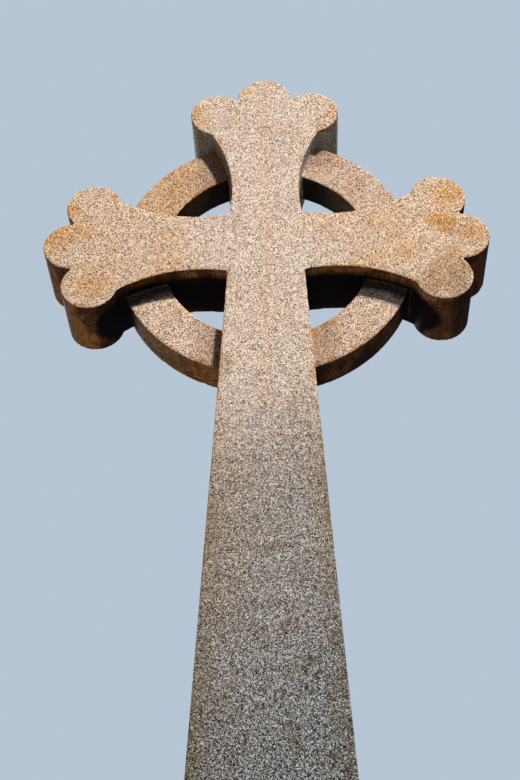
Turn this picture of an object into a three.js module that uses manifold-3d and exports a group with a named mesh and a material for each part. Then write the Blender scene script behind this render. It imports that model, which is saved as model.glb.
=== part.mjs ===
// A Celtic cross gravestone: a tapering granite shaft with three trefoil arms and a plain ring, all one
// stone, standing on a low granite plinth. Millimetres, +Z up. The front faces -Y, and the origin is the
// middle of the plinth's underside.

import * as THREE from 'three';
import { mergeVertices } from 'three/addons/utils/BufferGeometryUtils.js';
import Module from 'manifold-3d';

// Whole stone
const CROSSING_HEIGHT = 2400;
const HEAD_THICKNESS = 143;

// Arms: left, right and top are alike, measured from the crossing's centre
const END_LOBE_RADIUS = 58;
const END_LOBE_ALONG = 392;
const SIDE_LOBE_RADIUS = 57.5;
const SIDE_LOBE_ALONG = 351.5;
const SIDE_LOBE_ACROSS = 100.5;
const ARM_EDGE_RADIUS = 309;
const ARM_NECK_WIDTH = 139;
const ARM_NECK_ALONG = 134.5;

// Shaft: straight edges that spread towards the foot
const SHAFT_NECK_WIDTH = 155;
const SHAFT_NECK_DROP = 72;
const SHAFT_SPREAD = 0.0606;

// Ring: set in the middle of the stone's thickness
const RING_OUTER_RADIUS = 302;
const RING_INNER_RADIUS = 212;
const RING_THICKNESS = 71;

// Plinth: a block with a sloping shoulder round its top
const PLINTH_WIDTH = 700;
const PLINTH_DEPTH = 460;
const PLINTH_HEIGHT = 200;
const SHOULDER_RUN = 60;
const SHOULDER_RISE = 35;
const BED_JOINT = 0.3;

// Facets, and the steps that settle an inner corner
const ARC_DIVISIONS = 12;
const RING_DIVISIONS = 48;
const CORNER_STEPS = 20;

const granite = { roughness: 0.85, metalness: 0 };
const warmGranite = new THREE.MeshStandardMaterial({ color: 0xb09a86, ...granite });
const greyGranite = new THREE.MeshStandardMaterial({ color: 0x9a938c, ...granite });

const wasm = await Module();
wasm.setup();

function toSolid(geometry) {
  const bare = geometry.clone();
  bare.deleteAttribute('normal');
  bare.deleteAttribute('uv');
  const merged = mergeVertices(bare);
  const vertProperties = new Float32Array(merged.attributes.position.array);
  const triVerts = new Uint32Array(merged.index.array);
  return new wasm.Manifold(new wasm.Mesh({ numProp: 3, vertProperties, triVerts }));
}

function toGeometry(solid) {
  const { vertProperties, triVerts } = solid.getMesh();
  const geometry = new THREE.BufferGeometry();
  geometry.setAttribute('position', new THREE.BufferAttribute(new Float32Array(vertProperties), 3));
  geometry.setIndex(new THREE.BufferAttribute(new Uint32Array(triVerts), 1));
  geometry.computeVertexNormals();
  return geometry;
}

// An outline drawn as seen from the front, given a thickness that is centred on the plane Y = 0
function slab(outline, thickness, divisions) {
  const geometry = new THREE.ExtrudeGeometry(outline, {
    depth: thickness,
    bevelEnabled: false,
    curveSegments: divisions,
  });
  geometry.translate(0, 0, -thickness / 2);
  geometry.rotateX(Math.PI / 2);
  return geometry;
}

// Where two circles cross: the point on the left, going from the first centre to the second
function circlesCross(centreA, radiusA, centreB, radiusB) {
  const along = centreB.clone().sub(centreA);
  const distance = along.length();
  along.normalize();
  const left = new THREE.Vector2(-along.y, along.x);
  const reach = (distance ** 2 + radiusA ** 2 - radiusB ** 2) / (2 * distance);
  const offset = Math.sqrt(radiusA ** 2 - reach ** 2);
  return centreA.clone().addScaledVector(along, reach).addScaledVector(left, offset);
}

const mirrored = (point) => new THREE.Vector2(point.x, -point.y);

// One arm lies along +X in its own frame. Its upper edge is a hollow arc that ends in a sharp notch
// against the side lobe.
const endLobe = new THREE.Vector2(END_LOBE_ALONG, 0);
const sideLobe = new THREE.Vector2(SIDE_LOBE_ALONG, SIDE_LOBE_ACROSS);
const edgeCentre = new THREE.Vector2(ARM_NECK_ALONG, ARM_NECK_WIDTH / 2 + ARM_EDGE_RADIUS);
const lobeNotch = circlesCross(sideLobe, SIDE_LOBE_RADIUS, endLobe, END_LOBE_RADIUS);
const edgeNotch = circlesCross(sideLobe, SIDE_LOBE_RADIUS, edgeCentre, ARM_EDGE_RADIUS);

function armHalfWidth(along) {
  return edgeCentre.y - Math.sqrt(ARM_EDGE_RADIUS ** 2 - (along - edgeCentre.x) ** 2);
}

function shaftHalfWidth(drop) {
  return SHAFT_NECK_WIDTH / 2 + SHAFT_SPREAD * (drop - SHAFT_NECK_DROP);
}

// The corner between two neighbouring arms lies on their diagonal, and the corner between a side arm and
// the shaft where the arm's edge meets the shaft's. Each step lands closer to the crossing of the two.
function innerCorner(neighbourHalfWidth) {
  let along = ARM_NECK_WIDTH / 2;
  for (let step = 0; step < CORNER_STEPS; step += 1) {
    along = neighbourHalfWidth(armHalfWidth(along));
  }
  return new THREE.Vector2(along, armHalfWidth(along));
}

const armCorner = innerCorner(armHalfWidth);
const shaftCorner = innerCorner(shaftHalfWidth);

function addArc(outline, turn, centre, radius, from, to, clockwise) {
  const origin = new THREE.Vector2();
  const start = from.clone().sub(centre).angle() + turn;
  const end = to.clone().sub(centre).angle() + turn;
  const middle = centre.clone().rotateAround(origin, turn);
  outline.absarc(middle.x, middle.y, radius, start, end, clockwise);
}

// Adds one arm, anticlockwise: lower edge, lower lobe, end lobe, upper lobe, upper edge
function addArm(outline, turn, lowerCorner, upperCorner) {
  const lowerEdge = mirrored(edgeCentre);
  const lowerLobe = mirrored(sideLobe);
  addArc(outline, turn, lowerEdge, ARM_EDGE_RADIUS, mirrored(lowerCorner), mirrored(edgeNotch), true);
  addArc(outline, turn, lowerLobe, SIDE_LOBE_RADIUS, mirrored(edgeNotch), mirrored(lobeNotch), false);
  addArc(outline, turn, endLobe, END_LOBE_RADIUS, mirrored(lobeNotch), lobeNotch, false);
  addArc(outline, turn, sideLobe, SIDE_LOBE_RADIUS, lobeNotch, edgeNotch, false);
  addArc(outline, turn, edgeCentre, ARM_EDGE_RADIUS, edgeNotch, upperCorner, true);
}

function crossOutline() {
  const footDrop = CROSSING_HEIGHT - PLINTH_HEIGHT - BED_JOINT;
  const footHalfWidth = shaftHalfWidth(footDrop);
  const outline = new THREE.Shape();
  outline.moveTo(-footHalfWidth, -footDrop);
  outline.lineTo(footHalfWidth, -footDrop);
  addArm(outline, 0, shaftCorner, armCorner);
  addArm(outline, Math.PI / 2, armCorner, armCorner);
  addArm(outline, Math.PI, armCorner, shaftCorner);
  outline.closePath();
  return outline;
}

function ringOutline() {
  const outline = new THREE.Shape();
  outline.absarc(0, 0, RING_OUTER_RADIUS, 0, 2 * Math.PI, false);
  const hole = new THREE.Path();
  hole.absarc(0, 0, RING_INNER_RADIUS, 0, 2 * Math.PI, true);
  outline.holes.push(hole);
  return outline;
}

function makeCross() {
  const body = toSolid(slab(crossOutline(), HEAD_THICKNESS, ARC_DIVISIONS));
  const ring = toSolid(slab(ringOutline(), RING_THICKNESS, RING_DIVISIONS));
  const cross = new THREE.Mesh(toGeometry(body.add(ring)), warmGranite);
  cross.name = 'cross';
  cross.position.set(0, 0, CROSSING_HEIGHT);
  return cross;
}

// The plinth's outline from one side: upright faces below a sloping shoulder
function plinthOutline(width) {
  const half = width / 2;
  const shoulder = PLINTH_HEIGHT - SHOULDER_RISE;
  const outline = new THREE.Shape();
  outline.moveTo(-half, 0);
  outline.lineTo(half, 0);
  outline.lineTo(half, shoulder);
  outline.lineTo(half - SHOULDER_RUN, PLINTH_HEIGHT);
  outline.lineTo(-half + SHOULDER_RUN, PLINTH_HEIGHT);
  outline.lineTo(-half, shoulder);
  outline.closePath();
  return outline;
}

function makePlinth() {
  const fromFront = slab(plinthOutline(PLINTH_WIDTH), PLINTH_DEPTH, 1);
  const fromSide = slab(plinthOutline(PLINTH_DEPTH), PLINTH_WIDTH, 1).rotateZ(Math.PI / 2);
  const block = toSolid(fromFront).intersect(toSolid(fromSide));
  const plinth = new THREE.Mesh(toGeometry(block), greyGranite);
  plinth.name = 'plinth';
  return plinth;
}

const gravestone = new THREE.Group();
gravestone.add(makeCross(), makePlinth());

export default gravestone;
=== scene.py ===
"""A granite Celtic cross gravestone: the worn stone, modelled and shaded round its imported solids.

Metres, +Z up. The front faces -Y, and the origin is the middle of the plinth's underside.
"""

import math

import bpy
from bpy.props import FloatProperty, FloatVectorProperty, PointerProperty
from bpy.types import Operator, Panel, PropertyGroup
from mathutils import Matrix, Vector


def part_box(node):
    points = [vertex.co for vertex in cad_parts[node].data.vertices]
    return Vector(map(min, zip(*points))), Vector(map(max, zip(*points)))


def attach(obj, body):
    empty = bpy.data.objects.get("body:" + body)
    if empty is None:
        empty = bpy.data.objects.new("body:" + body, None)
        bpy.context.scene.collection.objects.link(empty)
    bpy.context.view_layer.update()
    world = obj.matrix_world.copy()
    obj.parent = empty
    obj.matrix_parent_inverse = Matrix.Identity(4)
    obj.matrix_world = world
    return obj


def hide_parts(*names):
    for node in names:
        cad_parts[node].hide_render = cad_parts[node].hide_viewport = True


bl_info = {
    "name": "Celtic Cross Gravestone",
    "version": (1, 0, 0),
    "blender": (4, 5, 0),
    "location": "3D View > Sidebar > Gravestone",
    "description": "Cuts a ringed granite cross and its plinth, weathers them and sets them on a stage",
    "category": "Object",
}

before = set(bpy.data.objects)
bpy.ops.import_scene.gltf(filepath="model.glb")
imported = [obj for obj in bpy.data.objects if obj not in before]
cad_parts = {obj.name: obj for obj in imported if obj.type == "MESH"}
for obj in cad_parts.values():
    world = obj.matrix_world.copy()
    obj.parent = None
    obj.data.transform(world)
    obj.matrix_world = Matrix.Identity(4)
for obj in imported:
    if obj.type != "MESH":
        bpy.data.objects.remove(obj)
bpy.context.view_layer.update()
CROSS_LOW, CROSS_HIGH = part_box("cross")
PLINTH_LOW, PLINTH_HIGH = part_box("plinth")
ARM_SPAN = CROSS_HIGH.x - CROSS_LOW.x
THICKNESS = CROSS_HIGH.y - CROSS_LOW.y
CROSSING = CROSS_HIGH.z - ARM_SPAN / 2
FRONT = CROSS_LOW.y

ROOT_BODY = "root"
ARRIS = "arris"
ARRIS_VALUE = "arris_value"

PHOTO_LONG_SIDE = 780
SENSOR_LONG_SIDE = 36.0


def number_property(name, description, default, unit="NONE"):
    return FloatProperty(name=name, description=description, default=default, unit=unit)


def length_property(name, description, default):
    return number_property(name, description, default, "LENGTH")


def colour_property(name, description, default):
    return FloatVectorProperty(
        name=name, description=description, default=default, subtype="COLOR", size=4, min=0, max=1
    )


class CrossSizes(PropertyGroup):
    """The cross's outline, measured from the crossing's centre."""

    end_lobe_radius: length_property("End lobe radius", "Radius of the lobe at an arm's tip", 0.058)
    side_lobe_radius: length_property("Side lobe radius", "Radius of the two side lobes", 0.0575)
    side_lobe_along: length_property("Side lobe along", "Side lobe's centre along its arm", 0.3515)
    side_lobe_across: length_property("Side lobe across", "Side lobe's centre across its arm", 0.1005)
    arm_edge_radius: length_property("Arm edge radius", "Radius of an arm's hollow edges", 0.309)
    arm_neck_width: length_property("Arm neck width", "Width of an arm where it is narrowest", 0.139)
    arm_neck_along: length_property("Arm neck along", "Where an arm is narrowest", 0.1345)
    shaft_neck_width: length_property("Shaft neck width", "Shaft's width just below the arms", 0.155)
    shaft_neck_drop: length_property("Shaft neck drop", "How far the neck is below the crossing", 0.072)
    shaft_spread: number_property("Shaft spread", "Widening of each side for each metre of height", 0.0606)
    ring_outer: length_property("Ring outer radius", "Outer radius of the ring", 0.302)
    ring_inner: length_property("Ring inner radius", "Inner radius of the ring", 0.212)
    ring_thickness: length_property("Ring thickness", "Thickness of the ring, front to back", 0.071)


class PlinthSizes(PropertyGroup):
    """The plinth's sloping shoulder."""

    shoulder_run: length_property("Shoulder run", "Width of the sloping shoulder", 0.06)
    shoulder_rise: length_property("Shoulder rise", "Height of the sloping shoulder", 0.035)


class WearSettings(PropertyGroup):
    """How far the stone has worn, and how finely it is modelled."""

    arris_radius: length_property("Arris radius", "Rounding of the worn arrises", 0.002)
    voxel: length_property("Voxel", "Mesh spacing before the flat faces are thinned", 0.0026)
    chip_depth: length_property("Chip depth", "Depth of the chips along the arrises", 0.0016)
    chip_spacing: length_property("Chip spacing", "Distance from one chip to the next", 0.014)
    tooling_depth: length_property("Tooling depth", "Depth of the hammered unevenness", 0.0004)
    tooling_size: length_property("Tooling size", "Width of the hammered unevenness", 0.01)
    waviness: length_property("Waviness", "Depth of the faces' slow waves", 0.0008)
    wave_length: length_property("Wave length", "Length of the faces' slow waves", 0.16)


class StoneColours(PropertyGroup):
    """The granite's minerals as linear colours, and the tints of what has settled on it."""

    cream: colour_property("Cream feldspar", "Palest crystals", (0.75, 0.715, 0.68, 1))
    buff: colour_property("Buff feldspar", "Buff crystals", (0.555, 0.505, 0.46, 1))
    quartz: colour_property("Quartz", "Grey glassy crystals", (0.292, 0.272, 0.253, 1))
    mica: colour_property("Mica", "Dark flecks", (0.04, 0.036, 0.032, 1))
    patina: colour_property("Patina", "Warm tint of the washed head", (0.835, 0.722, 0.64, 1))
    browned: colour_property("Browned crystals", "Tint of dark crystals at the head", (0.94, 0.78, 0.62, 1))
    arm_patina: colour_property("Arm patina", "Extra warmth out on the arms", (0.97, 0.88, 0.77, 1))
    ring_patina: colour_property("Ring patina", "Pinker tint of the ring's faces", (1.0, 0.94, 0.89, 1))
    ochre: colour_property("Ochre stain", "Rust-coloured stain on rims and lobes", (0.95, 0.70, 0.38, 1))
    rust: colour_property("Rust film", "Lighter brown on sheltered faces", (0.78, 0.44, 0.165, 1))
    # Grime and painted shade: dark brown grime, darkened further to stand for shade on the undersides
    grime_and_shade: colour_property("Grime", "Darker brown on sheltered faces", (0.21, 0.115, 0.048, 1))
    # Painted sky light: greyer, lighter film on faces that look left
    left_sky_light: colour_property("Drab film", "Greyer film on faces that see the sky", (0.60, 0.59, 0.54, 1))
    # Painted sky light: a pale bluish tint that stands for soft light on the top arm's sides
    painted_sky_light: colour_property("Pale bloom", "Thin film on the top arm's sides", (0.78, 0.94, 1.0, 1))
    # Painted shade: near-black for the pockets and corners between the arms and the ring
    pocket_shade: colour_property("Crust", "Black crust where no rain reaches", (0.016, 0.009, 0.006, 1))
    # Tints the stone greyer and darker low on the shaft
    low_tint: colour_property("Soil", "Grey tint low on the shaft", (0.61, 0.72, 0.84, 1))
    olive: colour_property("Olive film", "Brown and olive blotches low down", (0.70, 0.63, 0.50, 1))
    soot: colour_property("Soot", "Grey growth on faces that look up", (0.66, 0.65, 0.60, 1))


class StageSettings(PropertyGroup):
    """Camera and lights. Places are measured from the crossing's centre on the front face."""

    focal_pixels: number_property("Focal length in pixels", "For a long side of 780", 1475.9)
    camera_aside: length_property("Camera aside", "To the right", 0.0616)
    camera_away: length_property("Camera away", "In front", 2.3064)
    camera_drop: length_property("Camera drop", "Below the crossing", 1.8948)
    camera_pitch: number_property("Camera pitch", "Upward tilt", 0.58668, "ROTATION")
    camera_turn: number_property("Camera turn", "Turn to the left", 0.03255, "ROTATION")
    camera_roll: number_property("Camera roll", "Anticlockwise roll", -0.00697, "ROTATION")
    key_distance: length_property("Key distance", "Main light to the crossing", 8.0)
    key_size: length_property("Key size", "Diameter of the main light", 0.7)
    key_watts: number_property("Key power", "Power of the main light", 6650.0, "POWER")
    back_distance: length_property("Back distance", "Back light to the crossing", 6.0)
    back_size: length_property("Back size", "Diameter of the back light", 2.0)
    back_watts: number_property("Back power", "Power of the back light", 1600.0, "POWER")
    beam: number_property("Beam", "Width of the lights' cones", 0.70, "ROTATION")
    beam_blend: number_property("Beam blend", "Softness of the cones' edges", 0.8)
    beam_aim: length_property("Beam aim", "Height that the cones point at", 1.45)
    floor_colour: colour_property("Floor", "Pale floor", (0.46, 0.455, 0.45, 1))
    backdrop_colour: colour_property("Backdrop", "What the camera sees behind", (0.47, 0.56, 0.66, 1))
    sky_colour: colour_property("Soft light", "Colour of the soft light all round", (0.62, 0.75, 1.0, 1))
    sky_strength: number_property("Soft light strength", "Strength of the soft light all round", 0.24)


def make_only(piece):
    bpy.ops.object.select_all(action="DESELECT")
    piece.select_set(True)
    bpy.context.view_layer.objects.active = piece


def add_block(low, high):
    bpy.ops.mesh.primitive_cube_add(size=1, location=(low + high) / 2, scale=high - low)
    bpy.ops.object.transform_apply(location=True, rotation=True, scale=True)
    return bpy.context.object


def add_drum(x, z, radius, thickness, sides):
    """A disc seen from the front, centred on the plane Y = 0."""
    facing_front = (math.pi / 2, 0, 0)
    bpy.ops.mesh.primitive_cylinder_add(
        vertices=sides, radius=radius, depth=thickness, location=(x, 0, z), rotation=facing_front
    )
    bpy.ops.object.transform_apply(location=True, rotation=True, scale=True)
    return bpy.context.object


def apply_modifier(piece, kind, **settings):
    make_only(piece)
    modifier = piece.modifiers.new(kind.title(), kind)
    for name, value in settings.items():
        setattr(modifier, name, value)
    bpy.ops.object.modifier_apply(modifier=modifier.name)


def cut_away(piece, tool):
    apply_modifier(piece, "BOOLEAN", operation="DIFFERENCE", object=tool, solver="EXACT")
    bpy.data.objects.remove(tool)


def join(pieces, name):
    make_only(pieces[0])
    for piece in pieces:
        piece.select_set(True)
    bpy.ops.object.join()
    joined = bpy.context.object
    joined.name = name
    return joined


def turned_copy(piece, turn):
    """A copy swung about the crossing, anticlockwise as seen from the front."""
    make_only(piece)
    bpy.ops.object.duplicate()
    copy = bpy.context.object
    copy.rotation_euler.y = -turn
    bpy.ops.object.transform_apply(location=True, rotation=True, scale=True)
    return copy


def choose_vertices(piece, wanted):
    """Leaves the piece in edit mode with only the wanted vertices selected."""
    make_only(piece)
    bpy.ops.object.mode_set(mode="EDIT")
    bpy.ops.mesh.select_mode(type="VERT")
    bpy.ops.mesh.select_all(action="DESELECT")
    bpy.ops.object.mode_set(mode="OBJECT")
    for vertex in piece.data.vertices:
        vertex.select = wanted(vertex.co)
    bpy.ops.object.mode_set(mode="EDIT")


LOBE_SIDES = 128
EDGE_SIDES = 512
RING_SIDES = 256
HIDDEN_REACH = 0.02


def add_arm(sizes):
    """One arm along +X: a block, hollowed by two drums, with three drums as its lobes."""
    end_along = ARM_SPAN / 2 - sizes.end_lobe_radius
    half_width = sizes.side_lobe_across + sizes.side_lobe_radius / 3
    low = Vector((0, -THICKNESS / 2, -half_width))
    arm = add_block(low, Vector((end_along - HIDDEN_REACH, THICKNESS / 2, half_width)))
    edge_across = sizes.arm_neck_width / 2 + sizes.arm_edge_radius
    for side in (-1, 1):
        edge_z = side * edge_across
        tool = add_drum(sizes.arm_neck_along, edge_z, sizes.arm_edge_radius, THICKNESS * 2, EDGE_SIDES)
        cut_away(arm, tool)
    lobes = [add_drum(end_along, 0, sizes.end_lobe_radius, THICKNESS, LOBE_SIDES)]
    for side in (-1, 1):
        lobe_z = side * sizes.side_lobe_across
        lobes.append(add_drum(sizes.side_lobe_along, lobe_z, sizes.side_lobe_radius, THICKNESS, LOBE_SIDES))
    return join([arm, *lobes], "arm")


def shaft_half_width(sizes, drop):
    return sizes.shaft_neck_width / 2 + sizes.shaft_spread * (drop - sizes.shaft_neck_drop)


def add_shaft(sizes):
    """A block from the foot to the crossing, drawn in towards its top."""
    foot_drop = CROSSING - CROSS_LOW.z
    foot_half = shaft_half_width(sizes, foot_drop)
    top_half = shaft_half_width(sizes, 0)
    low = Vector((-foot_half, -THICKNESS / 2, -foot_drop))
    shaft = add_block(low, Vector((foot_half, THICKNESS / 2, 0)))
    choose_vertices(shaft, lambda place: place.z > -foot_drop / 2)
    bpy.ops.transform.resize(value=(top_half / foot_half, 1, 1), center_override=(0, 0, 0))
    bpy.ops.object.mode_set(mode="OBJECT")
    return shaft


def add_ring(sizes):
    ring = add_drum(0, 0, sizes.ring_outer, sizes.ring_thickness, RING_SIDES)
    cut_away(ring, add_drum(0, 0, sizes.ring_inner, THICKNESS, RING_SIDES))
    return ring


ARRIS_ANGLE = math.radians(40)
ARRIS_SEGMENTS = 3
MARK_ANGLE = math.radians(18)
CHIP_SPREAD = 2
STAIN_SPREAD = 24
SPREAD_FACTOR = 0.5
CHIP_CONTRAST = 4.0
CHIP_BRIGHTNESS = 0.0


def clouds(name, size, contrast=1.0, brightness=1.0):
    """A soft noise that never leaves 0 to 1, so that it only takes stone off."""
    texture = bpy.data.textures.new(name, "CLOUDS")
    texture.noise_scale = size
    texture.contrast = contrast
    texture.intensity = brightness
    texture.use_clamp = True
    return texture


def spread_arrises(piece, repeat):
    make_only(piece)
    piece.vertex_groups.active_index = piece.vertex_groups[ARRIS].index
    bpy.ops.object.mode_set(mode="WEIGHT_PAINT")
    bpy.ops.object.vertex_group_smooth(group_select_mode="ACTIVE", factor=SPREAD_FACTOR, repeat=repeat)
    bpy.ops.object.mode_set(mode="OBJECT")


def mark_arrises(piece):
    """Groups the vertices along every sharp edge, fading out beside it."""
    piece.vertex_groups.new(name=ARRIS)
    make_only(piece)
    bpy.ops.object.mode_set(mode="EDIT")
    bpy.ops.mesh.select_mode(type="EDGE")
    bpy.ops.mesh.select_all(action="DESELECT")
    bpy.ops.mesh.edges_select_sharp(sharpness=MARK_ANGLE)
    bpy.ops.object.vertex_group_assign()
    bpy.ops.object.mode_set(mode="OBJECT")
    spread_arrises(piece, CHIP_SPREAD)


def wear_down(piece, texture, depth):
    """Takes stone off where the texture is dark, so that the piece never grows."""
    apply_modifier(piece, "DISPLACE", texture=texture, strength=depth, mid_level=1)


def weather_shape(piece, wear, triangles):
    """Rounds the arrises, merges the blocks into one skin, chips and ripples it, and thins the flats."""
    apply_modifier(
        piece,
        "BEVEL",
        width=wear.arris_radius,
        segments=ARRIS_SEGMENTS,
        limit_method="ANGLE",
        angle_limit=ARRIS_ANGLE,
    )
    apply_modifier(piece, "REMESH", mode="VOXEL", voxel_size=wear.voxel, use_smooth_shade=True)
    mark_arrises(piece)
    chips = clouds("chips", wear.chip_spacing, CHIP_CONTRAST, CHIP_BRIGHTNESS)
    apply_modifier(
        piece, "DISPLACE", texture=chips, strength=-wear.chip_depth, mid_level=0, vertex_group=ARRIS
    )
    wear_down(piece, clouds("waves", wear.wave_length), wear.waviness)
    wear_down(piece, clouds("tooling", wear.tooling_size), wear.tooling_depth)
    spread_arrises(piece, STAIN_SPREAD)
    triangles_before = 2 * len(piece.data.polygons)
    apply_modifier(piece, "DECIMATE", ratio=min(1.0, triangles / triangles_before))
    bpy.ops.object.shade_smooth()


def store_arris(piece):
    """Keeps the arris group as a value that the material reads."""
    group = piece.vertex_groups[ARRIS]
    values = piece.data.attributes.new(ARRIS_VALUE, "FLOAT", "POINT")
    for vertex in piece.data.vertices:
        for entry in vertex.groups:
            if entry.group == group.index:
                values.data[vertex.index].value = entry.weight


def finish_piece(piece, node, material):
    piece.data.materials.clear()
    piece.data.materials.append(material)
    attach(piece, ROOT_BODY)
    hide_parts(node)


class Graph:
    """Adds nodes to one tree and links them up, each input given by its name or number."""

    STEP = 190

    def __init__(self, tree):
        self.tree = tree
        self.count = 0

    def set_inputs(self, node, inputs):
        for name, value in inputs.items():
            if isinstance(value, bpy.types.NodeSocket):
                self.tree.links.new(value, node.inputs[name])
            else:
                node.inputs[name].default_value = value

    def add(self, kind, inputs=None, **settings):
        node = self.tree.nodes.new("ShaderNode" + kind)
        node.location = (self.STEP * self.count, 0)
        self.count += 1
        for name, value in settings.items():
            setattr(node, name, value)
        self.set_inputs(node, inputs or {})
        return node

    def maths(self, operation, first, second=0.0, clamp=False):
        node = self.add("Math", {0: first, 1: second}, operation=operation, use_clamp=clamp)
        return node.outputs[0]

    def product(self, *factors):
        result = factors[0]
        for factor in factors[1:]:
            result = self.maths("MULTIPLY", result, factor)
        return result

    def highest(self, *masks):
        result = masks[0]
        for mask in masks[1:]:
            result = self.maths("MAXIMUM", result, mask)
        return result

    def rest(self, mask):
        """Where the mask isn't."""
        return self.maths("SUBTRACT", 1.0, mask)

    def swing(self, noise, *widths):
        """A noise from 0 to 1, moved to swing about 0, and scaled."""
        return self.product(self.maths("SUBTRACT", noise, 0.5), *widths)

    def vector(self, operation, first, second=(0, 0, 0)):
        return self.add("VectorMath", {0: first, 1: second}, operation=operation).outputs[0]

    def scaled(self, vector, factor):
        return self.add("VectorMath", {0: vector, "Scale": factor}, operation="SCALE").outputs[0]

    def measure(self, operation, first, second=(0, 0, 0)):
        """A number from two vectors, such as their distance."""
        return self.add("VectorMath", {0: first, 1: second}, operation=operation).outputs["Value"]

    def split(self, vector):
        return self.add("SeparateXYZ", {0: vector}).outputs[0:3]

    def ramp(self, value, low, high, to_low=0.0, to_high=1.0):
        """A smooth step from to_low to to_high as the value goes from low to high."""
        inputs = {"Value": value, "From Min": low, "From Max": high, "To Min": to_low, "To Max": to_high}
        return self.add("MapRange", inputs, interpolation_type="SMOOTHSTEP").outputs[0]

    def grey(self, value):
        return self.add("CombineColor", {0: value, 1: value, 2: value}).outputs[0]

    def mix(self, factor, first, second, blend="MIX"):
        node = self.add("Mix", {0: factor, 6: first, 7: second}, data_type="RGBA", blend_type=blend)
        return node.outputs[2]

    def tint(self, colour, mask, tint):
        """The colour multiplied by a tint, as far as the mask says."""
        return self.mix(mask, colour, tint, "MULTIPLY")

    def contrast(self, colour, power):
        return self.add("Gamma", {"Color": colour, "Gamma": power}).outputs[0]

    def noise(self, vector, scale, detail=2.0, roughness=0.5):
        inputs = {"Vector": vector, "Scale": scale, "Detail": detail, "Roughness": roughness}
        return self.add("TexNoise", inputs).outputs

    def group(self, tree, inputs):
        node = self.add("Group", node_tree=tree)
        self.set_inputs(node, inputs)
        return node.outputs


SOCKETS = {
    "vector": "NodeSocketVector",
    "value": "NodeSocketFloat",
    "colour": "NodeSocketColor",
}


def new_group(name, inputs, outputs):
    """An empty node group with named sockets; returns its graph, its inputs and its output node."""
    tree = bpy.data.node_groups.new(name, "ShaderNodeTree")
    for socket, kind in inputs.items():
        tree.interface.new_socket(name=socket, in_out="INPUT", socket_type=SOCKETS[kind])
    for socket, kind in outputs.items():
        tree.interface.new_socket(name=socket, in_out="OUTPUT", socket_type=SOCKETS[kind])
    graph = Graph(tree)
    start = tree.nodes.new("NodeGroupInput")
    start.location = (-Graph.STEP, 0)
    end = tree.nodes.new("NodeGroupOutput")
    return graph, start.outputs, end


def close_group(graph, end, results):
    end.location = (Graph.STEP * graph.count, 0)
    for name, socket in results.items():
        graph.tree.links.new(socket, end.inputs[name])


GRAIN = "Granite Grain"
SKIN = "Hammered Skin"
BLOTCHES = "Soft Blotches"
PATCH = "Stain Patch"
SHELTER = "Sheltered Faces"
RUNS = "Water Runs"

# Shares of the crystals: below the first it is quartz, above the second cream, and buff between
QUARTZ_SHARE = 0.26
CREAM_ABOVE = 0.60
FLECK_SHARE = 0.19
SHARE_EDGE = 0.02

# Numbers of other grains for each crystal, and how far a crystal's outline wanders for its size
WARP_NUMBER = 1.3
WARP_REACH = 0.9
FLECK_NUMBER = 1.35
GRIT_NUMBER = 3.0
GRIT_DETAIL = 3.0
MICA_PIT = 0.35

# Spans for Graph.ramp: where it starts and ends, and its values there if they aren't 0 and 1
CRYSTAL_TONES = (0.0, 1.0, 0.8, 1.18)
GRIT_TONES = (0.3, 0.7, 0.84, 1.14)


def make_grain_group():
    """Interlocked crystals of four minerals, with fine grit over them."""
    inputs = {
        "Vector": "vector",
        "Crystals": "value",
        "Cream": "colour",
        "Buff": "colour",
        "Quartz": "colour",
        "Mica": "colour",
    }
    graph, given, end = new_group(GRAIN, inputs, {"Color": "colour", "Relief": "value"})
    warp = graph.noise(given["Vector"], graph.product(given["Crystals"], WARP_NUMBER))
    centred = graph.vector("SUBTRACT", warp["Color"], (0.5, 0.5, 0.5))
    bend = graph.scaled(centred, graph.maths("DIVIDE", WARP_REACH, given["Crystals"]))
    warped = graph.vector("ADD", given["Vector"], bend)

    cells = graph.add("TexVoronoi", {"Vector": warped, "Scale": given["Crystals"]})
    pick = graph.add("SeparateColor", {0: cells.outputs["Color"]}).outputs
    is_cream = graph.ramp(pick[0], CREAM_ABOVE, CREAM_ABOVE + SHARE_EDGE)
    is_feldspar = graph.ramp(pick[0], QUARTZ_SHARE, QUARTZ_SHARE + SHARE_EDGE)
    pale = graph.mix(is_feldspar, given["Quartz"], graph.mix(is_cream, given["Buff"], given["Cream"]))
    toned = graph.tint(pale, 1.0, graph.grey(graph.ramp(pick[1], *CRYSTAL_TONES)))

    fleck_scale = graph.product(given["Crystals"], FLECK_NUMBER)
    flecks = graph.add("TexVoronoi", {"Vector": warped, "Scale": fleck_scale})
    fleck_pick = graph.add("SeparateColor", {0: flecks.outputs["Color"]}).outputs
    is_mica = graph.ramp(fleck_pick[2], FLECK_SHARE + SHARE_EDGE, FLECK_SHARE)
    flecked = graph.mix(is_mica, toned, given["Mica"])

    grit = graph.noise(given["Vector"], graph.product(given["Crystals"], GRIT_NUMBER), GRIT_DETAIL)[0]
    gritty = graph.tint(flecked, 1.0, graph.grey(graph.ramp(grit, *GRIT_TONES)))
    relief = graph.maths("SUBTRACT", grit, graph.product(is_mica, MICA_PIT))
    close_group(graph, end, {"Color": gritty, "Relief": relief})


# Noises as their detail and roughness
SKIN_NOISE = (4.0, 0.6)
BLOTCH_NOISE = (5.0, 0.62)
SHELTER_NOISE = (4.0, 0.6)
RUN_NOISE = (4.0, 0.55)

WAVES_PER_POINT = 0.35
BLOTCH_EDGE = 0.16
PATCH_RAGGEDNESS = 2.4
PATCH_CORE = 0.2
SHELTER_SCALE = 16.0
SHELTER_WANDER = 0.3
SHELTER_LEAN = (0.12, -0.25)
RUN_STRETCH = (1.0, 1.0, 0.12)
RUN_SHARE = (0.48, 0.68)


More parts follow.
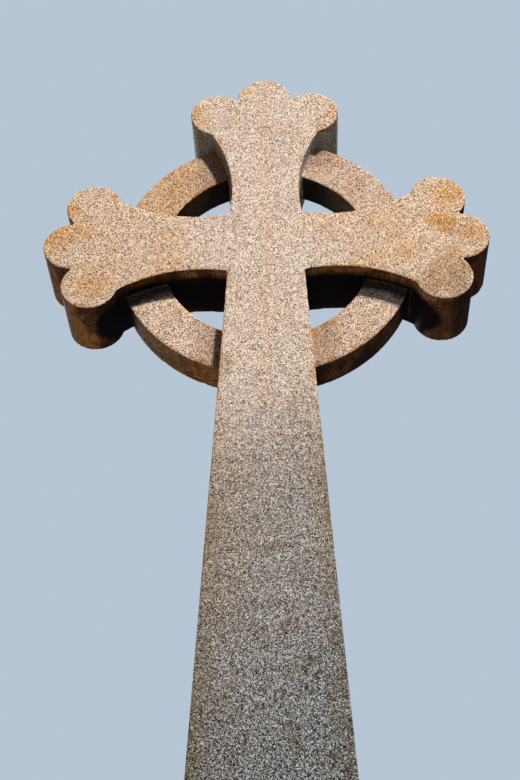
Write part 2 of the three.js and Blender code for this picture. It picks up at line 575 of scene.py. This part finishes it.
def make_skin_group():
    """The pocked skin that a bush hammer leaves."""
    graph, given, end = new_group(SKIN, {"Vector": "vector", "Points": "value"}, {"Height": "value"})
    inputs = {"Vector": given["Vector"], "Scale": given["Points"]}
    pocks = graph.add("TexVoronoi", inputs, feature="SMOOTH_F1")
    ground = graph.noise(given["Vector"], graph.product(given["Points"], WAVES_PER_POINT), *SKIN_NOISE)[0]
    close_group(graph, end, {"Height": graph.maths("ADD", pocks.outputs["Distance"], ground)})


def make_blotches_group():
    """Broad soft blotches; a higher threshold leaves fewer."""
    inputs = {"Vector": "vector", "Scale": "value", "Threshold": "value"}
    graph, given, end = new_group(BLOTCHES, inputs, {"Mask": "value"})
    noise = graph.noise(given["Vector"], given["Scale"], *BLOTCH_NOISE)[0]
    full = graph.maths("ADD", given["Threshold"], BLOTCH_EDGE)
    close_group(graph, end, {"Mask": graph.ramp(noise, given["Threshold"], full)})


def make_patch_group():
    """One stain, strongest in its middle, with an edge that a noise makes ragged."""
    inputs = {"Vector": "vector", "Noise": "value", "Centre": "vector", "Radius": "value"}
    graph, given, end = new_group(PATCH, inputs, {"Mask": "value"})
    away = graph.measure("DISTANCE", given["Vector"], given["Centre"])
    reach = graph.maths("ADD", away, graph.swing(given["Noise"], PATCH_RAGGEDNESS, given["Radius"]))
    core = graph.product(given["Radius"], PATCH_CORE)
    close_group(graph, end, {"Mask": graph.ramp(reach, given["Radius"], core)})


def make_shelter_group():
    """Faces that rain doesn't wash and light hardly reaches, for grime with painted shade: those that look
    down, and in part the upright ones.
    """
    graph, given, end = new_group(SHELTER, {"Vector": "vector", "Up": "value"}, {"Mask": "value"})
    ragged = graph.noise(given["Vector"], SHELTER_SCALE, *SHELTER_NOISE)[0]
    lean = graph.maths("ADD", given["Up"], graph.swing(ragged, SHELTER_WANDER))
    close_group(graph, end, {"Mask": graph.ramp(lean, *SHELTER_LEAN)})


def make_runs_group():
    """Runs of dirty water: noise drawn out downwards."""
    graph, given, end = new_group(RUNS, {"Vector": "vector", "Scale": "value"}, {"Mask": "value"})
    drawn_out = graph.vector("MULTIPLY", given["Vector"], RUN_STRETCH)
    runs = graph.noise(drawn_out, given["Scale"], *RUN_NOISE)[0]
    close_group(graph, end, {"Mask": graph.ramp(runs, *RUN_SHARE)})


GROUP_MAKERS = {
    GRAIN: make_grain_group,
    SKIN: make_skin_group,
    BLOTCHES: make_blotches_group,
    PATCH: make_patch_group,
    SHELTER: make_shelter_group,
    RUNS: make_runs_group,
}


def shared(name):
    """A node group that the materials share, made the first time that it is needed."""
    if name not in bpy.data.node_groups:
        GROUP_MAKERS[name]()
    return bpy.data.node_groups[name]


CRYSTALS_PER_METRE = 520.0
HAMMER_POINTS_PER_METRE = 190.0
BUMP_STRENGTH = 0.9
BUMP_DISTANCE = 0.0007
STONE_SPECULAR = 0.12
RIM_SPREAD = (0.04, 0.3)
LOW_CONTRAST = 2.55


def granite(graph, place, colours):
    """Crystals and hammered relief; returns the colour and the height."""
    inputs = {
        "Vector": place,
        "Crystals": CRYSTALS_PER_METRE,
        "Cream": colours.cream,
        "Buff": colours.buff,
        "Quartz": colours.quartz,
        "Mica": colours.mica,
    }
    grain = graph.group(shared(GRAIN), inputs)
    skin = graph.group(shared(SKIN), {"Vector": place, "Points": HAMMER_POINTS_PER_METRE})
    return grain["Color"], graph.maths("ADD", skin["Height"], grain["Relief"])


def darker_greyer(graph, grain, colours):
    """The neutral, strongly marked crystals low on the stone."""
    return graph.tint(graph.contrast(grain, LOW_CONTRAST), 1.0, colours.low_tint)


def blotches(graph, place, scale, threshold, strength=1.0):
    inputs = {"Vector": place, "Scale": scale, "Threshold": threshold}
    return graph.product(graph.group(shared(BLOTCHES), inputs)["Mask"], strength)


def water_runs(graph, place, scale, strength):
    return graph.product(graph.group(shared(RUNS), {"Vector": place, "Scale": scale})["Mask"], strength)


def rim_mask(graph):
    """The arrises, fading out beside them."""
    return graph.ramp(graph.add("Attribute", attribute_name=ARRIS_VALUE).outputs["Fac"], *RIM_SPREAD)


def new_material(name):
    material = bpy.data.materials.new(name)
    material.use_nodes = True
    material.node_tree.nodes.clear()
    return material


def finish_material(graph, colour, roughness, height):
    bump = graph.add("Bump", {"Strength": BUMP_STRENGTH, "Distance": BUMP_DISTANCE, "Height": height})
    shader = graph.add(
        "BsdfPrincipled", {"Base Color": colour, "Roughness": roughness, "Normal": bump.outputs[0]}
    )
    shader.inputs["Specular IOR Level"].default_value = STONE_SPECULAR
    graph.add("OutputMaterial", {"Surface": shader.outputs[0]})


# Spans below are metres from the crossing, its rim or its face, or run from -1 to 1 for a facing
FLAT_FACING = (0.6, 0.85)
RING_FACE_EDGE = (0.012, 0.004)


class Spot:
    """Where a shaded point lies on the cross, and which way it faces."""

    def __init__(self, graph, sizes):
        coords = graph.add("TexCoord").outputs
        self.place = graph.vector("SUBTRACT", coords["Object"], (0, 0, CROSSING))
        self.x, self.y, self.z = graph.split(self.place)
        self.aside = graph.maths("ABSOLUTE", self.x)
        self.depth = graph.maths("ABSOLUTE", self.y)
        self.right, back, self.up = graph.split(coords["Normal"])
        self.flat = graph.ramp(graph.maths("ABSOLUTE", back), *FLAT_FACING)

        from_front = graph.vector("MULTIPLY", self.place, (1, 0, 1))
        self.radius = graph.measure("LENGTH", from_front)
        self.outward = graph.measure("DOT_PRODUCT", graph.vector("NORMALIZE", from_front), coords["Normal"])
        self.from_rim = graph.maths("SUBTRACT", self.radius, sizes.ring_outer)
        self.from_face = graph.maths("SUBTRACT", self.depth, sizes.ring_thickness / 2)
        self.on_ring = graph.product(graph.ramp(self.from_face, *RING_FACE_EDGE), self.flat)


# Ochre stains on the front: place from the crossing's centre, radius and strength
OCHRE_PATCHES = (
    (-0.430, 0.026, 0.062, 0.6),
    (-0.370, 0.045, 0.040, 0.45),
    (-0.402, 0.095, 0.034, 0.8),
    (-0.186, -0.036, 0.070, 0.25),
    (-0.345, -0.100, 0.070, 0.4),
    (0.359, 0.035, 0.046, 1.0),
    (0.376, 0.114, 0.053, 0.85),
    (0.418, 0.006, 0.040, 0.65),
    (0.288, -0.034, 0.036, 0.6),
    (0.352, -0.105, 0.075, 0.5),
    (-0.046, 0.420, 0.034, 0.4),
    (0.150, 0.345, 0.034, 0.6),
    (-0.150, 0.345, 0.045, 0.25),
    (-0.104, -0.620, 0.028, 0.5),
    (-0.109, -0.680, 0.030, 0.6),
)

# Dull places on the right arm's lobes and the shaft, likewise
DULL_PATCHES = (
    (0.364, -0.114, 0.085, 1.0),
    (0.400, 0.0, 0.075, 0.35),
    (-0.085, -0.300, 0.035, 0.8),
    (-0.004, -0.490, 0.035, 0.5),
)

# Brown spots on the shaft, likewise
BROWN_PATCHES = (
    (0.014, -0.688, 0.026, 1.0),
    (-0.013, -0.849, 0.018, 0.8),
    (-0.010, -0.877, 0.014, 0.8),
    (0.106, -0.777, 0.028, 0.9),
    (0.112, -0.870, 0.030, 1.0),
    (0.088, -0.879, 0.020, 0.7),
    (0.115, -0.959, 0.026, 0.8),
    (0.103, -1.078, 0.034, 0.5),
    (0.097, -0.716, 0.028, 1.0),
    (0.035, -1.018, 0.020, 0.8),
    (0.034, -1.052, 0.022, 0.9),
    (-0.114, -0.791, 0.026, 0.7),
    (-0.119, -0.883, 0.026, 0.8),
    (-0.124, -0.972, 0.028, 0.9),
    (-0.127, -1.074, 0.028, 0.8),
)

# A dark speck on the shaft, likewise
DARK_SPECKS = ((0.0754, -0.9037, 0.0135, 1.0),)


def stain_mask(graph, spot, ragged, patches):
    """The strongest of several stains on the front face."""
    masks = []
    for x, z, radius, strength in patches:
        inputs = {"Vector": spot.place, "Noise": ragged, "Centre": (x, FRONT, z), "Radius": radius}
        masks.append(graph.product(graph.group(shared(PATCH), inputs)["Mask"], strength))
    return graph.highest(*masks)


HEAD_CONTRAST = 0.9
DARK_CRYSTALS = (0.45, 0.15)
OUT_FROM_CROSSING = (0.05, 0.24)
OUT_FROM_SHAFT = (0.05, 0.2, 0.1, 1.0)
ABOVE_SHAFT = (-0.30, -0.18)
UP_TOP_ARM = (0.12, 0.3)
TOP_ARM_TINT = (0.95, 0.955, 0.97, 1)

# Blotches are given as their scale, threshold and strength, and runs as their scale and strength
WARM_BLOTCHES = (11.0, 0.48)
WARM_ASIDE = (0.0, 0.2, 0.4, 0.85)
WARM_TINT = (1.0, 0.90, 0.75, 1)
DULL_BLOTCHES = (23.0, 0.52, 0.6)
DULL_TINT = (0.88, 0.85, 0.83, 1)
DULL_PATCH_TINT = (0.68, 0.67, 0.67, 1)

HEAD_RUNS = (26.0, 0.3)
MIDDLE_RUN_STRENGTH = 0.45
MIDDLE_RUN_WIDTH = (0.03, 0.0)
MIDDLE_RUN_END = (-0.62, -0.3)
RUN_TINT = (0.97, 0.85, 0.72, 1)


def washed_head(graph, spot, grain, colours, ragged):
    """Warm, rain-washed stone: warmer out on the arms, with one run down the middle."""
    colour = graph.tint(graph.contrast(grain, HEAD_CONTRAST), 1.0, colours.patina)
    brightness = graph.add("RGBToBW", {0: grain}).outputs[0]
    colour = graph.tint(colour, graph.ramp(brightness, *DARK_CRYSTALS), colours.browned)
    on_arms = graph.product(
        graph.ramp(spot.radius, *OUT_FROM_CROSSING),
        graph.ramp(spot.aside, *OUT_FROM_SHAFT),
        graph.ramp(spot.z, *ABOVE_SHAFT),
        graph.rest(spot.on_ring),
    )
    colour = graph.tint(colour, on_arms, colours.arm_patina)
    colour = graph.tint(colour, graph.ramp(spot.z, *UP_TOP_ARM), TOP_ARM_TINT)

    warm = graph.product(blotches(graph, spot.place, *WARM_BLOTCHES), graph.ramp(spot.aside, *WARM_ASIDE))
    colour = graph.tint(colour, warm, WARM_TINT)
    colour = graph.tint(colour, blotches(graph, spot.place, *DULL_BLOTCHES), DULL_TINT)
    colour = graph.tint(colour, stain_mask(graph, spot, ragged, DULL_PATCHES), DULL_PATCH_TINT)

    middle_run = graph.product(
        graph.ramp(spot.aside, *MIDDLE_RUN_WIDTH), graph.ramp(spot.z, *MIDDLE_RUN_END), MIDDLE_RUN_STRENGTH
    )
    runs = graph.highest(water_runs(graph, spot.place, *HEAD_RUNS), middle_run)
    return graph.tint(colour, runs, RUN_TINT)


ABOVE_CROSSING = (0.0, 0.05)
UPPER_RING = (-0.05, 0.12)
UPPER_RING_TINT = (0.86, 0.82, 0.80, 1)
LEFT_OF_SHAFT = (-0.05, -0.2)
UPPER_LEFT_TINT = (1.0, 0.94, 0.76, 1)
LOWER_RING = (0.05, -0.05)
RIGHT_OF_SHAFT = (0.0, 0.1)
LOWER_RIGHT_TINT = (0.95, 0.94, 0.93, 1)
RING_BLOTCHES = (8.0, 0.46)
RING_BLOTCH_TINT = (0.97, 0.94, 0.92, 1)
BESIDE_SHAFT = (0.165, 0.115)
RIGHT_OF_MIDDLE = (0.0, 0.05)
BELOW_TOP_LOBE = (0.25, 0.20)
RING_END_TINT = (0.70, 0.63, 0.58, 1)


def tinted_ring(graph, spot, colour, colours):
    """The ring's faces: pinker than the arms, dull at the ends and above, brownest at the upper left."""
    upper = graph.ramp(spot.z, *UPPER_RING)
    upper_left = graph.product(upper, graph.ramp(spot.x, *LEFT_OF_SHAFT))
    lower_right = graph.product(graph.ramp(spot.z, *LOWER_RING), graph.ramp(spot.x, *RIGHT_OF_SHAFT))
    clean_end = graph.product(
        graph.ramp(spot.x, *RIGHT_OF_MIDDLE),
        graph.ramp(spot.z, *BELOW_TOP_LOBE),
        graph.ramp(spot.z, *ABOVE_CROSSING),
    )
    dull_ends = graph.product(graph.ramp(spot.aside, *BESIDE_SHAFT), graph.rest(clean_end))
    tints = (
        (1.0, colours.ring_patina),
        (upper, UPPER_RING_TINT),
        (upper_left, UPPER_LEFT_TINT),
        (lower_right, LOWER_RIGHT_TINT),
        (blotches(graph, spot.place, *RING_BLOTCHES), RING_BLOTCH_TINT),
        (dull_ends, RING_END_TINT),
    )
    for mask, tint in tints:
        colour = graph.tint(colour, graph.product(spot.on_ring, mask), tint)
    return colour


SHAFT_RIM = (0.055, 0.0)
RIM_BROWN_BLOTCHES = (13.0, 0.36)
RIM_BROWN_LEAST = 0.45
LOW_BLOTCHES = (19.0, 0.53, 0.8)
SPECK_TINT = (0.42, 0.38, 0.34, 1)
LEFT_SIDE = (0.02, -0.12)
LEFT_SIDE_UP = (-0.95, -0.45, 0.35, 1.0)
LEFT_SIDE_TINT = (1.0, 0.87, 0.73, 1)


def greyed_shaft(graph, spot, grain, colours, sizes, ragged):
    """Neutral stone, darker and greyer, with strong crystals, brown along the arrises and in blotches."""
    spread = graph.product(spot.z, sizes.shaft_spread)
    half_width = graph.maths("SUBTRACT", shaft_half_width(sizes, 0), spread)
    inside = graph.maths("SUBTRACT", half_width, spot.aside)
    patchy = graph.highest(blotches(graph, spot.place, *RIM_BROWN_BLOTCHES), RIM_BROWN_LEAST)
    brown = graph.highest(
        graph.product(graph.ramp(inside, *SHAFT_RIM), patchy),
        blotches(graph, spot.place, *LOW_BLOTCHES),
        stain_mask(graph, spot, ragged, BROWN_PATCHES),
    )
    colour = graph.tint(darker_greyer(graph, grain, colours), brown, colours.olive)
    colour = graph.tint(colour, stain_mask(graph, spot, ragged, DARK_SPECKS), SPECK_TINT)
    along_left = graph.product(graph.ramp(spot.x, *LEFT_SIDE), graph.ramp(spot.z, *LEFT_SIDE_UP))
    return graph.tint(colour, along_left, LEFT_SIDE_TINT)


LOWER_STONE_SLANT = 0.4
LOWER_STONE_WANDER = 0.3
LOWER_STONE_UPPER = (-0.26, -0.62, 0.0, 0.72)
LOWER_STONE_LOWER = (-0.6, -1.15, 0.0, 0.28)


def lower_stone_mask(graph, spot, ragged):
    """How far the washed head has given way to the darker, greyer shaft, lower down on the left."""
    wandering = graph.maths("ADD", spot.z, graph.swing(ragged, LOWER_STONE_WANDER))
    height = graph.maths("SUBTRACT", wandering, graph.product(spot.x, LOWER_STONE_SLANT))
    return graph.maths("ADD", graph.ramp(height, *LOWER_STONE_UPPER), graph.ramp(height, *LOWER_STONE_LOWER))


FILM_BLOTCHES = (14.0, 0.45)
STREAK_STRETCH = (1, 0.1, 1)
STREAK_NOISE = (75.0, 3.0)
STREAK_SHARE = (0.42, 0.68, -0.25, 0.35)
LEFT_LIT_FACING = (0.0, -0.8, 0.0, 0.6)
LEFT_SKY_FACING = (-0.45, -0.9, 0.0, 0.75)
TOP_ARM_SKY_LIGHT_RISE = (0.08, 0.2, 0.0, 0.9)
RIGHT_SHADE_FACING = (0.0, 0.36)
RIGHT_SHADE_BELOW_TOP = (0.2, 0.08, 0.1, 1.0)
RIGHT_SHADE_TINT = (0.28, 0.25, 0.23, 1)


def film_colour(graph, spot, colours):
    """Brown film in blotches and streaks, with painted sky light making it lighter where faces look left
    and palest up the top arm.
    """
    streaks = graph.noise(graph.vector("MULTIPLY", spot.place, STREAK_STRETCH), *STREAK_NOISE)[0]
    places = graph.maths(
        "ADD", blotches(graph, spot.place, *FILM_BLOTCHES), graph.ramp(streaks, *STREAK_SHARE)
    )
    # Painted sky light: more of the lighter rust where faces look left
    places = graph.maths("ADD", places, graph.ramp(spot.right, *LEFT_LIT_FACING), clamp=True)
    film = graph.mix(places, colours.grime_and_shade, colours.rust)
    # Painted sky light: grey on faces that look further left
    film = graph.mix(graph.ramp(spot.right, *LEFT_SKY_FACING), film, colours.left_sky_light)
    # Painted sky light: the film turns pale and bluish up the top arm's sides
    return graph.mix(graph.ramp(spot.z, *TOP_ARM_SKY_LIGHT_RISE), film, colours.painted_sky_light)


def filmed(graph, spot, colour, colours):
    """Adds the film of grime and painted shade on sheltered faces, with more painted shade where they face
    right.
    """
    # Grime with painted shade on faces that look down
    sheltered = graph.group(shared(SHELTER), {"Vector": spot.place, "Up": spot.up})["Mask"]
    sheltered = graph.product(sheltered, graph.rest(spot.flat))
    colour = graph.tint(colour, sheltered, film_colour(graph, spot, colours))
    # Painted shade: undersides that face right are darkened
    right_facing_shade = graph.product(
        sheltered, graph.ramp(spot.right, *RIGHT_SHADE_FACING), graph.ramp(spot.z, *RIGHT_SHADE_BELOW_TOP)
    )
    return graph.tint(colour, right_facing_shade, RIGHT_SHADE_TINT)


# The painted pocket shade's limits, from the ring's rim, from the crossing and along a face's direction
INSIDE_RIM = (0.004, -0.004)
THINNER_AT_BACK = (0.072, 0.050, 0.82, 1.0)
LOBE_REACH = (0.01, 0.07, 0.074, 0.036)
WITHIN_REACH = (-0.010, 0.006)
BELOW_TOP_LOBES = (0.22, 0.12)
FACES_OUT = (0.5, 0.8)
RIM_FROM_OUTSIDE = (0.010, 0.004)
RIM_FROM_INSIDE = (-0.014, -0.008)
RIM_WIDTH = (0.004, 0.0)
UP_TOP_SIDES = (0.06, 0.18)
TOP_SIDES_FREE = 0.95
FACES_IN = (-0.7, -0.95)
UPPER_INSIDE = (0.0, 0.1)
THINNER_ASIDE = (0.10, 0.17, 0.03, 0.25)


def pocket_mask(graph, spot, wander):
    """The pockets between the arms and the ring, and on beyond the ring to the side lobes, where black
    shade is painted.
    """
    ragged_rim = graph.maths("ADD", spot.from_rim, wander)
    inside = graph.ramp(ragged_rim, *INSIDE_RIM)
    inside_ring = graph.product(inside, graph.ramp(spot.y, *THINNER_AT_BACK))
    reach = graph.ramp(spot.depth, *LOBE_REACH)
    beside_lobe = graph.product(
        graph.ramp(graph.maths("SUBTRACT", reach, ragged_rim), *WITHIN_REACH),
        graph.rest(inside),
        graph.ramp(spot.z, *BELOW_TOP_LOBES),
    )
    on_rim = graph.product(
        graph.ramp(spot.outward, *FACES_OUT),
        graph.ramp(spot.from_rim, *RIM_FROM_OUTSIDE),
        graph.ramp(spot.from_rim, *RIM_FROM_INSIDE),
        graph.ramp(spot.from_face, *RIM_WIDTH),
    )
    faces_in = graph.ramp(spot.outward, *FACES_IN)
    on_top_arm = graph.product(graph.ramp(spot.z, *UP_TOP_SIDES), graph.rest(faces_in), TOP_SIDES_FREE)
    upper_inside = graph.product(
        graph.ramp(spot.z, *UPPER_INSIDE), faces_in, graph.ramp(spot.aside, *THINNER_ASIDE)
    )
    return graph.product(
        graph.highest(inside_ring, beside_lobe),
        graph.rest(on_rim),
        graph.rest(on_top_arm),
        graph.rest(upper_inside),
    )


SHADE_WANDER = 0.03
NEAR_LOBE = (0.12, 0.082)
NEAR_RIM = (0.008, 0.002)
LOOKS_DOWN = (0.2, -0.1)
BEHIND_FRONT = (-0.060, -0.038)
UNDER_ARM_EDGE = (0.276, 0.294)
BELOW_CROSSING = (0.0, -0.02)
RING_CORNER_SHADE = 0.9


def painted_shade_mask(graph, spot, sizes, ragged):
    """Painted black shade in the pockets, on the lower lobes near them, and in the corner where the ring
    meets the arms.
    """
    wander = graph.swing(ragged, SHADE_WANDER)
    mirrored = graph.add("CombineXYZ", {0: spot.aside, 2: spot.z}).outputs[0]
    low_lobe = (sizes.side_lobe_along, 0, -sizes.side_lobe_across)
    from_lobe = graph.maths("ADD", graph.measure("DISTANCE", mirrored, low_lobe), wander)
    near_lobe = graph.product(graph.ramp(from_lobe, *NEAR_LOBE), graph.ramp(spot.from_rim, *NEAR_RIM))
    underneath = graph.product(
        graph.highest(pocket_mask(graph, spot, wander), near_lobe),
        graph.ramp(spot.up, *LOOKS_DOWN),
        graph.ramp(spot.y, *BEHIND_FRONT),
        graph.rest(spot.flat),
    )
    low_edge = (sizes.arm_neck_along, 0, -sizes.arm_neck_width / 2 - sizes.arm_edge_radius)
    from_edge = graph.maths("ADD", graph.measure("DISTANCE", mirrored, low_edge), wander)
    # Painted shade in the corner where the ring's face meets the arm's underside
    ring_end = graph.product(
        graph.ramp(from_edge, *UNDER_ARM_EDGE),
        graph.ramp(spot.z, *BELOW_CROSSING),
        spot.on_ring,
        RING_CORNER_SHADE,
    )
    return graph.highest(underneath, ring_end)


RAGGED_NOISE = (30.0, 5.0, 0.65)
OCHRE_RIM_BLOTCHES = (15.0, 0.46, 0.8)
OCHRE_RISE = (-0.85, -0.60)
LOOKS_UP = (0.45, 0.85)
SOOT_BLOTCHES = (9.0, 0.36, 0.8)
CROSS_ROUGHNESS = 0.88


def cross_material(colours, sizes):
    """Granite that is warm at the head, ochre on its lobes and rims, grey on the shaft and brown below."""
    material = new_material("Weathered Cross Granite")
    graph = Graph(material.node_tree)
    spot = Spot(graph, sizes)
    grain, height = granite(graph, spot.place, colours)
    ragged = graph.noise(spot.place, *RAGGED_NOISE)[0]

    head = tinted_ring(graph, spot, washed_head(graph, spot, grain, colours, ragged), colours)
    shaft = greyed_shaft(graph, spot, grain, colours, sizes, ragged)
    colour = graph.mix(lower_stone_mask(graph, spot, ragged), head, shaft)

    ochre_rim = graph.product(rim_mask(graph), blotches(graph, spot.place, *OCHRE_RIM_BLOTCHES))
    ochre = graph.highest(stain_mask(graph, spot, ragged, OCHRE_PATCHES), ochre_rim)
    colour = graph.tint(colour, graph.product(ochre, graph.ramp(spot.z, *OCHRE_RISE)), colours.ochre)
    soot = graph.product(graph.ramp(spot.up, *LOOKS_UP), blotches(graph, spot.place, *SOOT_BLOTCHES))
    colour = graph.tint(colour, soot, colours.soot)
    colour = filmed(graph, spot, colour, colours)
    # Painted shade: near-black in the pockets and corners between the arms and the ring
    colour = graph.tint(colour, painted_shade_mask(graph, spot, sizes, ragged), colours.pocket_shade)
    finish_material(graph, colour, CROSS_ROUGHNESS, height)
    return material


PLINTH_RUNS = (20.0, 0.5)
PLINTH_BLOTCHES = (12.0, 0.48, 0.9)
WORN_RIM_STRENGTH = 0.5
WORN_RIM_TINT = (1.25, 1.22, 1.18, 1)
DAMP_WANDER = (17.0, 0.4, 0.05)
DAMP_HEIGHT = (0.07, -0.02, 0.0, 0.75)
DAMP_TINT = (0.55, 0.5, 0.4, 1)
PLINTH_ROUGHNESS = 0.9


def plinth_material(colours):
    """The shaft's darker, greyer granite, with brown runs from the shoulder and damp dirt near the ground.
    """
    material = new_material("Weathered Plinth Granite")
    graph = Graph(material.node_tree)
    place = graph.add("TexCoord").outputs["Object"]
    grain, height = granite(graph, place, colours)
    brown = graph.highest(
        water_runs(graph, place, *PLINTH_RUNS), blotches(graph, place, *PLINTH_BLOTCHES)
    )
    colour = graph.tint(darker_greyer(graph, grain, colours), brown, colours.olive)
    colour = graph.tint(colour, graph.product(rim_mask(graph), WORN_RIM_STRENGTH), WORN_RIM_TINT)
    above_ground = graph.maths("SUBTRACT", graph.split(place)[2], blotches(graph, place, *DAMP_WANDER))
    colour = graph.tint(colour, graph.ramp(above_ground, *DAMP_HEIGHT), DAMP_TINT)
    finish_material(graph, colour, PLINTH_ROUGHNESS, height)
    return material


CROSS_TRIANGLES = 190000
PLINTH_TRIANGLES = 60000


class GRAVESTONE_OT_cut_cross(Operator):
    """Cuts the shaft, the three arms and the ring as one stone and weathers it"""

    bl_idname = "gravestone.cut_cross"
    bl_label = "Cut Cross"

    def execute(self, context):
        sizes = context.scene.cross_sizes
        arm = add_arm(sizes)
        arms = [arm, turned_copy(arm, math.pi / 2), turned_copy(arm, math.pi)]
        cross = join([add_shaft(sizes), *arms, add_ring(sizes)], "weathered_cross")
        cross.location.z = CROSSING
        bpy.ops.object.transform_apply(location=True, rotation=True, scale=True)
        weather_shape(cross, context.scene.stone_wear, CROSS_TRIANGLES)
        store_arris(cross)
        finish_piece(cross, "cross", cross_material(context.scene.stone_colours, sizes))
        return {"FINISHED"}


class GRAVESTONE_OT_cut_plinth(Operator):
    """Cuts the plinth with its sloping shoulder and weathers it"""

    bl_idname = "gravestone.cut_plinth"
    bl_label = "Cut Plinth"

    def execute(self, context):
        sizes = context.scene.plinth_sizes
        plinth = add_block(PLINTH_LOW, PLINTH_HIGH)
        plinth.name = "weathered_plinth"
        half = (PLINTH_HIGH - PLINTH_LOW) / 2
        choose_vertices(plinth, lambda place: place.z > half.z)
        bpy.ops.mesh.extrude_region_move()
        shrink = ((half.x - sizes.shoulder_run) / half.x, (half.y - sizes.shoulder_run) / half.y, 1)
        bpy.ops.transform.resize(value=shrink, center_override=(0, 0, 0))
        bpy.ops.object.mode_set(mode="OBJECT")
        for vertex in plinth.data.vertices:
            on_rim = abs(vertex.co.x) > half.x - sizes.shoulder_run / 2
            if vertex.co.z > half.z and on_rim:
                vertex.co.z -= sizes.shoulder_rise
        weather_shape(plinth, context.scene.stone_wear, PLINTH_TRIANGLES)
        store_arris(plinth)
        finish_piece(plinth, "plinth", plinth_material(context.scene.stone_colours))
        return {"FINISHED"}


FLOOR_RADIUS = 4.5
FLOOR_SIDES = 256
FLOOR_ROUGHNESS = 0.9
KEY_DIRECTION = Vector((0.3455, -0.6082, 0.7146))
KEY_COLOUR = (1.0, 0.965, 0.91)
BACK_DIRECTION = Vector((-0.35, 0.75, 0.56))
BACK_COLOUR = (0.95, 0.97, 1.0)


def add_floor(colour):
    bpy.ops.mesh.primitive_circle_add(vertices=FLOOR_SIDES, radius=FLOOR_RADIUS, fill_type="NGON")
    floor = bpy.context.object
    floor.name = "stage_floor"
    material = new_material("Pale Floor")
    graph = Graph(material.node_tree)
    shader = graph.add("BsdfPrincipled", {"Base Color": colour, "Roughness": FLOOR_ROUGHNESS})
    graph.add("OutputMaterial", {"Surface": shader.outputs[0]})
    floor.data.materials.append(material)


def add_lamp(name, stage, direction, distance):
    """A lamp in the given direction from the crossing, its cone just wide enough for the stone."""
    place = Vector((0, 0, CROSSING)) + direction.normalized() * distance
    bpy.ops.object.light_add(type="SPOT", location=place)
    lamp = bpy.context.object
    lamp.name = name
    lamp.rotation_mode = "QUATERNION"
    lamp.rotation_quaternion = (place - Vector((0, 0, stage.beam_aim))).to_track_quat("Z", "Y")
    lamp.data.spot_size = stage.beam
    lamp.data.spot_blend = stage.beam_blend
    return lamp.data


def add_lights(stage):
    key = add_lamp("key_light", stage, KEY_DIRECTION, stage.key_distance)
    key.shadow_soft_size = stage.key_size / 2
    key.energy = stage.key_watts
    key.color = KEY_COLOUR
    back = add_lamp("back_light", stage, BACK_DIRECTION, stage.back_distance)
    back.shadow_soft_size = stage.back_size / 2
    back.energy = stage.back_watts
    back.color = BACK_COLOUR


def set_surroundings(stage):
    """Soft light from all round, and a plain backdrop that only the camera sees."""
    world = bpy.data.worlds.new("Studio")
    world.use_nodes = True
    world.node_tree.nodes.clear()
    graph = Graph(world.node_tree)
    soft = graph.add("Background", {"Color": stage.sky_colour, "Strength": stage.sky_strength})
    backdrop = graph.add("Background", {"Color": stage.backdrop_colour})
    seen = graph.add("LightPath").outputs["Is Camera Ray"]
    both = graph.add("MixShader", {0: seen, 1: soft.outputs[0], 2: backdrop.outputs[0]})
    graph.add("OutputWorld", {"Surface": both.outputs[0]})
    bpy.context.scene.world = world


def add_camera(stage):
    place = Vector((stage.camera_aside, FRONT - stage.camera_away, CROSSING - stage.camera_drop))
    turn = Matrix.Rotation(stage.camera_turn, 4, "Z")
    tilt = Matrix.Rotation(math.pi / 2 + stage.camera_pitch, 4, "X")
    roll = Matrix.Rotation(stage.camera_roll, 4, "Z")
    bpy.ops.object.camera_add()
    camera = bpy.context.object
    camera.name = "photo_camera"
    camera.matrix_world = Matrix.Translation(place) @ turn @ tilt @ roll
    camera.data.lens = stage.focal_pixels / PHOTO_LONG_SIDE * SENSOR_LONG_SIDE
    camera.data.sensor_width = SENSOR_LONG_SIDE
    bpy.context.scene.camera = camera


class GRAVESTONE_OT_set_stage(Operator):
    """Adds the floor, the soft studio light and the camera"""

    bl_idname = "gravestone.set_stage"
    bl_label = "Set Stage"

    def execute(self, context):
        stage = context.scene.stage_settings
        add_floor(stage.floor_colour)
        add_lights(stage)
        set_surroundings(stage)
        add_camera(stage)
        context.scene.view_settings.view_transform = "Standard"
        return {"FINISHED"}


class GRAVESTONE_PT_sidebar(Panel):
    """Lists the steps that make the gravestone, and its settings"""

    bl_idname = "GRAVESTONE_PT_sidebar"
    bl_label = "Celtic Cross Gravestone"
    bl_space_type = "VIEW_3D"
    bl_region_type = "UI"
    bl_category = "Gravestone"

    def draw(self, context):
        for operator in OPERATORS:
            self.layout.operator(operator.bl_idname)
        for name in SETTINGS:
            box = self.layout.box()
            settings = getattr(context.scene, name)
            for prop in settings.__annotations__:
                box.prop(settings, prop)


OPERATORS = (GRAVESTONE_OT_cut_cross, GRAVESTONE_OT_cut_plinth, GRAVESTONE_OT_set_stage)
SETTINGS = {
    "cross_sizes": CrossSizes,
    "plinth_sizes": PlinthSizes,
    "stone_wear": WearSettings,
    "stone_colours": StoneColours,
    "stage_settings": StageSettings,
}


def register():
    for cls in (*SETTINGS.values(), *OPERATORS, GRAVESTONE_PT_sidebar):
        bpy.utils.register_class(cls)
    for name, group in SETTINGS.items():
        setattr(bpy.types.Scene, name, PointerProperty(type=group))


def unregister():
    for name in SETTINGS:
        delattr(bpy.types.Scene, name)
    for cls in (GRAVESTONE_PT_sidebar, *reversed(OPERATORS), *reversed(SETTINGS.values())):
        bpy.utils.unregister_class(cls)


def main():
    register()
    bpy.ops.object.select_all(action="DESELECT")
    bpy.ops.gravestone.cut_cross()
    bpy.ops.gravestone.cut_plinth()
    bpy.ops.gravestone.set_stage()


if __name__ == "__main__":
    main()
